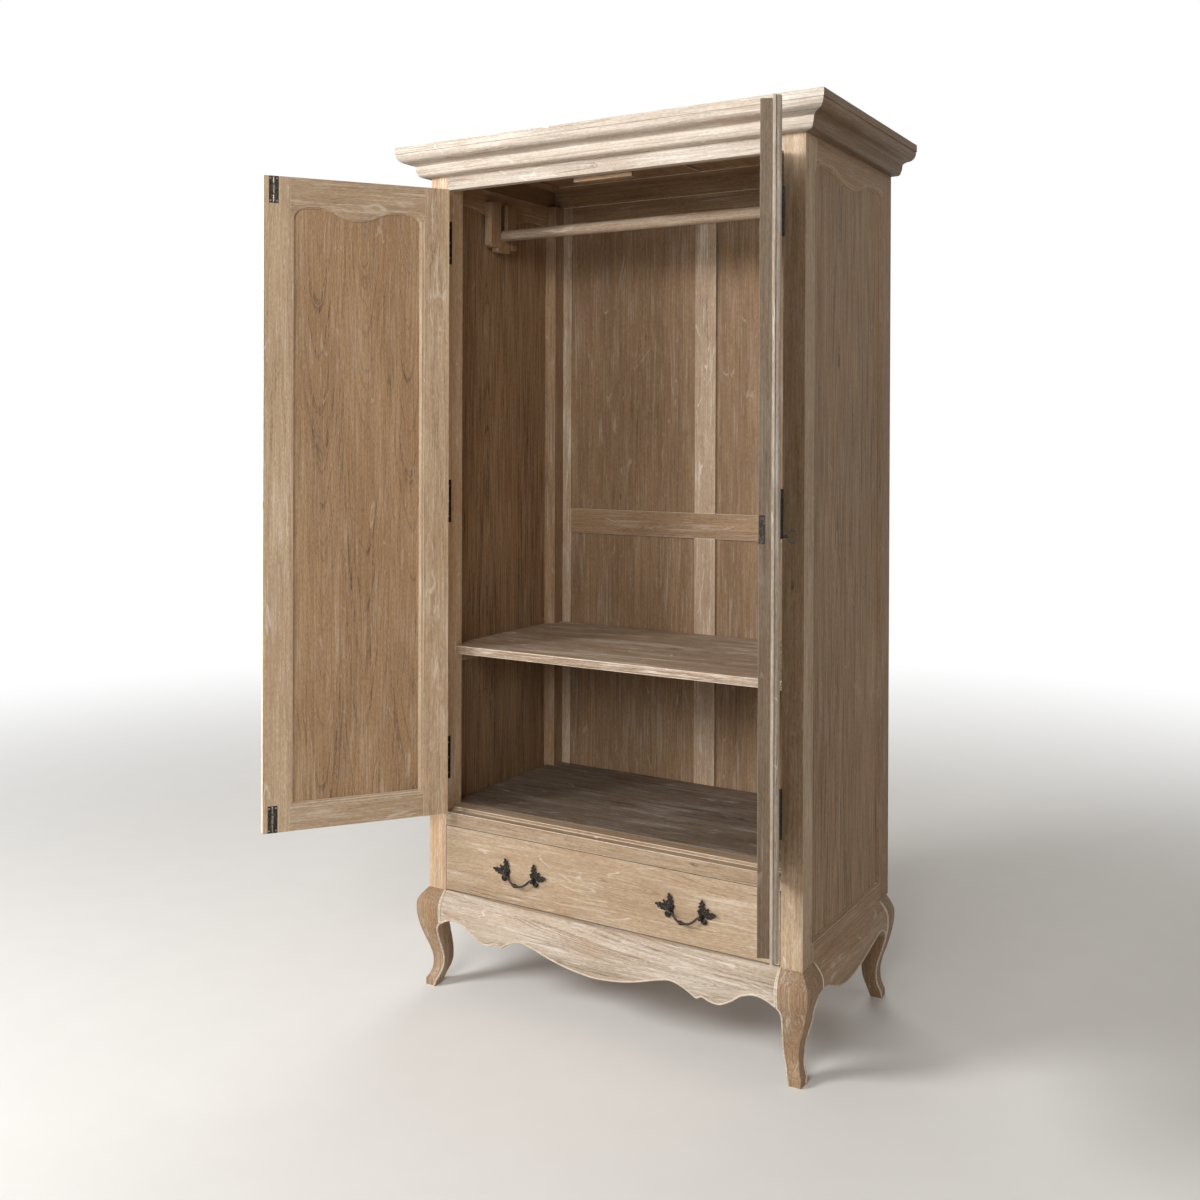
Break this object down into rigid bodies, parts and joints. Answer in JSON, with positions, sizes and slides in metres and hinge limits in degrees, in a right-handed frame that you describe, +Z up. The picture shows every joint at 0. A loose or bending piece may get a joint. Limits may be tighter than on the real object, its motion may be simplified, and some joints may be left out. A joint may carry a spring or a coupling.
{
  "type": "wardrobe",
  "caption": "Limed oak wardrobe with serpentine-headed panels, moulded cornice, cabriole legs, hanging rail, shelf, and a drawer with leaf-mounted bail handles.",
  "frame": {"origin": "centre of the footprint of the wardrobe with its doors open as stored, on the floor", "axes": "+X to the wardrobe's right as seen from the front, +Y towards its back, +Z up"},
  "size_m": [1.2944, 0.9616, 2],
  "materials": {
    "limed_oak": "weathered oak, limed in the pores, satin wax",
    "pale_oak": "paler limed oak of the cornice and aprons, satin wax",
    "panel_oak": "figured oak of the panels, satin wax",
    "inner_oak": "plain oak inside and at the back, dry wax",
    "dark_iron": "antique near-black, worn edges"
  },
  "bodies": {
    "carcass": {"front_left_leg": "limed_oak", "front_right_leg": "limed_oak", "rear_left_leg": "limed_oak", "rear_right_leg": "limed_oak", "front_apron": "pale_oak", "left_apron": "pale_oak", "right_apron": "pale_oak", "back_apron": "inner_oak", "front_left_post": "limed_oak", "front_right_post": "limed_oak", "rear_left_post": "limed_oak", "rear_right_post": "limed_oak", "left_side_rails": "limed_oak", "right_side_rails": "limed_oak", "left_side_panel": "panel_oak", "right_side_panel": "panel_oak", "back_frame": "inner_oak", "back_panels": "inner_oak", "frieze_rail": "limed_oak", "drawer_rail": "limed_oak", "cornice_front": "pale_oak", "cornice_left": "pale_oak", "cornice_right": "pale_oak", "top_frame": "inner_oak", "ceiling_panels": "inner_oak", "deck": "inner_oak", "shelf": "inner_oak", "board_battens": "inner_oak", "hanging_rail": "inner_oak", "rail_brackets": "inner_oak", "door_stop_block": "inner_oak", "drawer_runners": "inner_oak", "post_hinge_leaves": "dark_iron"},
    "left_door": {"left_door_meeting_stile": "limed_oak", "left_door_hinge_stile": "limed_oak", "left_door_top_rail": "limed_oak", "left_door_bottom_rail": "limed_oak", "left_door_panel": "panel_oak", "left_door_bolt_cases": "dark_iron", "left_door_hinge_leaves": "dark_iron"},
    "right_door": {"right_door_meeting_stile": "limed_oak", "right_door_hinge_stile": "limed_oak", "right_door_top_rail": "limed_oak", "right_door_bottom_rail": "limed_oak", "right_door_panel": "panel_oak", "right_door_astragal": "limed_oak", "right_door_lock_case": "dark_iron", "right_door_hinge_leaves": "dark_iron"},
    "drawer": {"drawer_front": "limed_oak", "drawer_sides": "inner_oak", "drawer_back": "inner_oak", "drawer_bottom": "inner_oak", "handle_mounts": "dark_iron"},
    "left_bail": {"left_bail": "dark_iron"},
    "right_bail": {"right_bail": "dark_iron"},
    "top_bolt": {"left_door_top_bolt": "dark_iron"},
    "bottom_bolt": {"left_door_bottom_bolt": "dark_iron"},
    "key": {"right_door_key": "dark_iron"},
    "lock_bolt": {"right_door_lock_bolt": "dark_iron"}
  },
  "joints": [
    {"name": "left_door_hinge", "type": "hinge", "parent": "carcass", "child": "left_door", "pos_m": [-0.39652, -0.05601, 1.16], "axis": [0, 0, -1], "range_deg": [-126.5, 43.5]},
    {"name": "right_door_hinge", "type": "hinge", "parent": "carcass", "child": "right_door", "pos_m": [0.46228, -0.05601, 1.16], "axis": [0, 0, 1], "range_deg": [-111.5, 58.5]},
    {"name": "drawer_slide", "type": "slide", "parent": "carcass", "child": "drawer", "axis": [0, -1, 0], "range_m": [0, 0.38]},
    {"name": "left_bail_swing", "type": "hinge", "parent": "drawer", "child": "left_bail", "pos_m": [-0.18112, -0.06021, 0.299], "axis": [-1, 0, 0], "range_deg": [-20, 70]},
    {"name": "right_bail_swing", "type": "hinge", "parent": "drawer", "child": "right_bail", "pos_m": [0.24688, -0.06021, 0.299], "axis": [-1, 0, 0], "range_deg": [-20, 70]},
    {"name": "top_bolt_slide", "type": "slide", "parent": "left_door", "child": "top_bolt", "axis": [0, 0, 1], "range_m": [0, 0.012]},
    {"name": "bottom_bolt_slide", "type": "slide", "parent": "left_door", "child": "bottom_bolt", "axis": [0, 0, -1], "range_m": [0, 0.012]},
    {"name": "key_turn", "type": "hinge", "parent": "right_door", "child": "key", "pos_m": [0.60548, -0.43263, 1.14528], "axis": [0.9304, 0.3665, 0], "range_deg": [0, 180]},
    {"name": "lock_bolt_slide", "type": "slide", "parent": "right_door", "child": "lock_bolt", "axis": [0.3665, -0.9304, 0], "range_m": [0, 0.009]}
  ],
  "couplings": [
    {"joint": "lock_bolt_slide", "follows": "key_turn", "m_per_rad": 0.0028648}
  ]
}
